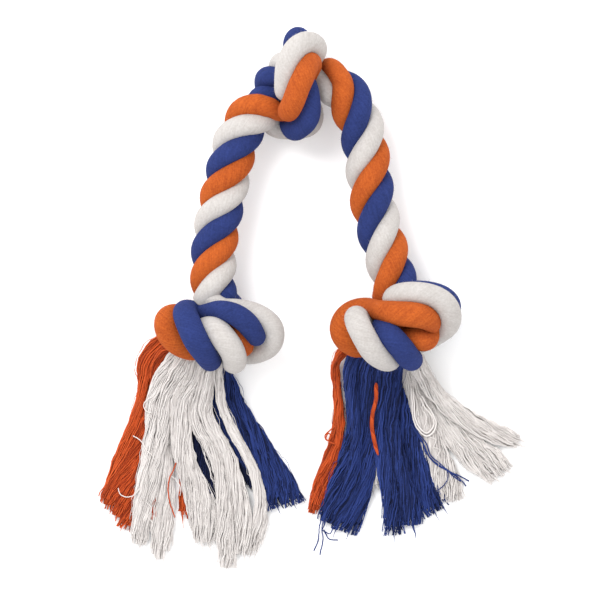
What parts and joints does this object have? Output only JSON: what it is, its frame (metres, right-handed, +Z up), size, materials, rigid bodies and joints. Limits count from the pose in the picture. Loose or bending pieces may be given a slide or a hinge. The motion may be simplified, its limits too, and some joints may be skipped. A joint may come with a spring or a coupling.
{
  "type": "rope dog toy",
  "caption": "Twisted cotton tug rope folded into an arch, with an overhand knot at the bend and at each end, and frayed tassels below the end knots.",
  "frame": {"origin": "on the table, under the middle of the toy's bounding box as it lies flat", "axes": "+X to the right and +Y from the tassels to the middle knot, as the toy is seen from above; +Z up from the table"},
  "size_m": [0.2549, 0.3288, 0.0648],
  "materials": {
    "orange_cotton": "dyed cotton yarn, matt and slightly fuzzy",
    "white_cotton": "natural white cotton yarn, matt and slightly fuzzy",
    "blue_cotton": "dyed cotton yarn, matt and slightly fuzzy"
  },
  "bodies": {
    "middle_knot": {"middle_knot_orange_strand": "orange_cotton", "middle_knot_white_strand": "white_cotton", "middle_knot_blue_strand": "blue_cotton"},
    "left_upper_arm": {"left_upper_arm_orange_strand": "orange_cotton", "left_upper_arm_white_strand": "white_cotton", "left_upper_arm_blue_strand": "blue_cotton"},
    "left_lower_arm": {"left_lower_arm_orange_strand": "orange_cotton", "left_lower_arm_white_strand": "white_cotton", "left_lower_arm_blue_strand": "blue_cotton"},
    "left_knot": {"left_knot_orange_strand": "orange_cotton", "left_knot_white_strand": "white_cotton", "left_knot_blue_strand": "blue_cotton"},
    "left_tassel": {"left_tassel_orange_lock_1": "orange_cotton", "left_tassel_orange_lock_2": "orange_cotton", "left_tassel_blue_lock_1": "blue_cotton", "left_tassel_blue_lock_2": "blue_cotton", "left_tassel_white_lock_1": "white_cotton", "left_tassel_white_lock_2": "white_cotton", "left_tassel_white_lock_3": "white_cotton", "left_tassel_white_lock_4": "white_cotton", "left_tassel_white_lock_5": "white_cotton"},
    "right_upper_arm": {"right_upper_arm_orange_strand": "orange_cotton", "right_upper_arm_white_strand": "white_cotton", "right_upper_arm_blue_strand": "blue_cotton"},
    "right_lower_arm": {"right_lower_arm_orange_strand": "orange_cotton", "right_lower_arm_white_strand": "white_cotton", "right_lower_arm_blue_strand": "blue_cotton"},
    "right_knot": {"right_knot_orange_strand": "orange_cotton", "right_knot_white_strand": "white_cotton", "right_knot_blue_strand": "blue_cotton"},
    "right_tassel": {"right_tassel_orange_lock": "orange_cotton", "right_tassel_blue_lock_1": "blue_cotton", "right_tassel_blue_lock_2": "blue_cotton", "right_tassel_blue_lock_3": "blue_cotton", "right_tassel_white_lock_1": "white_cotton", "right_tassel_white_lock_2": "white_cotton", "right_tassel_white_lock_3": "white_cotton", "right_tassel_orange_wisp": "orange_cotton"}
  },
  "joints": [
    {"name": "left_arm_lean", "type": "hinge", "parent": "middle_knot", "child": "left_upper_arm", "pos_m": [-0.03456, 0.11377, 0.03044], "axis": [0, 0, -1], "range_deg": [0, 30]},
    {"name": "left_arm_lift", "type": "hinge", "parent": "left_upper_arm", "child": "left_lower_arm", "pos_m": [-0.05612, 0.05987, 0.02801], "axis": [-0.9758, 0.2186, 0], "range_deg": [0, 30]},
    {"name": "left_knot_lean", "type": "hinge", "parent": "left_lower_arm", "child": "left_knot", "pos_m": [-0.06175, 0.00807, 0.02972], "axis": [0, 0, -1], "range_deg": [0, 25]},
    {"name": "left_tassel_lift", "type": "hinge", "parent": "left_knot", "child": "left_tassel", "pos_m": [-0.062, -0.04686, 0.028], "axis": [-1, 0, 0], "range_deg": [0, 60]},
    {"name": "right_arm_lean", "type": "hinge", "parent": "middle_knot", "child": "right_upper_arm", "pos_m": [0.01783, 0.12518, 0.02919], "axis": [0, 0, 1], "range_deg": [0, 30]},
    {"name": "right_arm_lift", "type": "hinge", "parent": "right_upper_arm", "child": "right_lower_arm", "pos_m": [0.03407, 0.06719, 0.02789], "axis": [-0.9909, -0.1347, 0], "range_deg": [0, 30]},
    {"name": "right_knot_lean", "type": "hinge", "parent": "right_lower_arm", "child": "right_knot", "pos_m": [0.04778, 0.0127, 0.02976], "axis": [0, 0, 1], "range_deg": [0, 25]},
    {"name": "right_tassel_lift", "type": "hinge", "parent": "right_knot", "child": "right_tassel", "pos_m": [0.048, -0.04705, 0.028], "axis": [-1, 0, 0], "range_deg": [0, 60]}
  ]
}
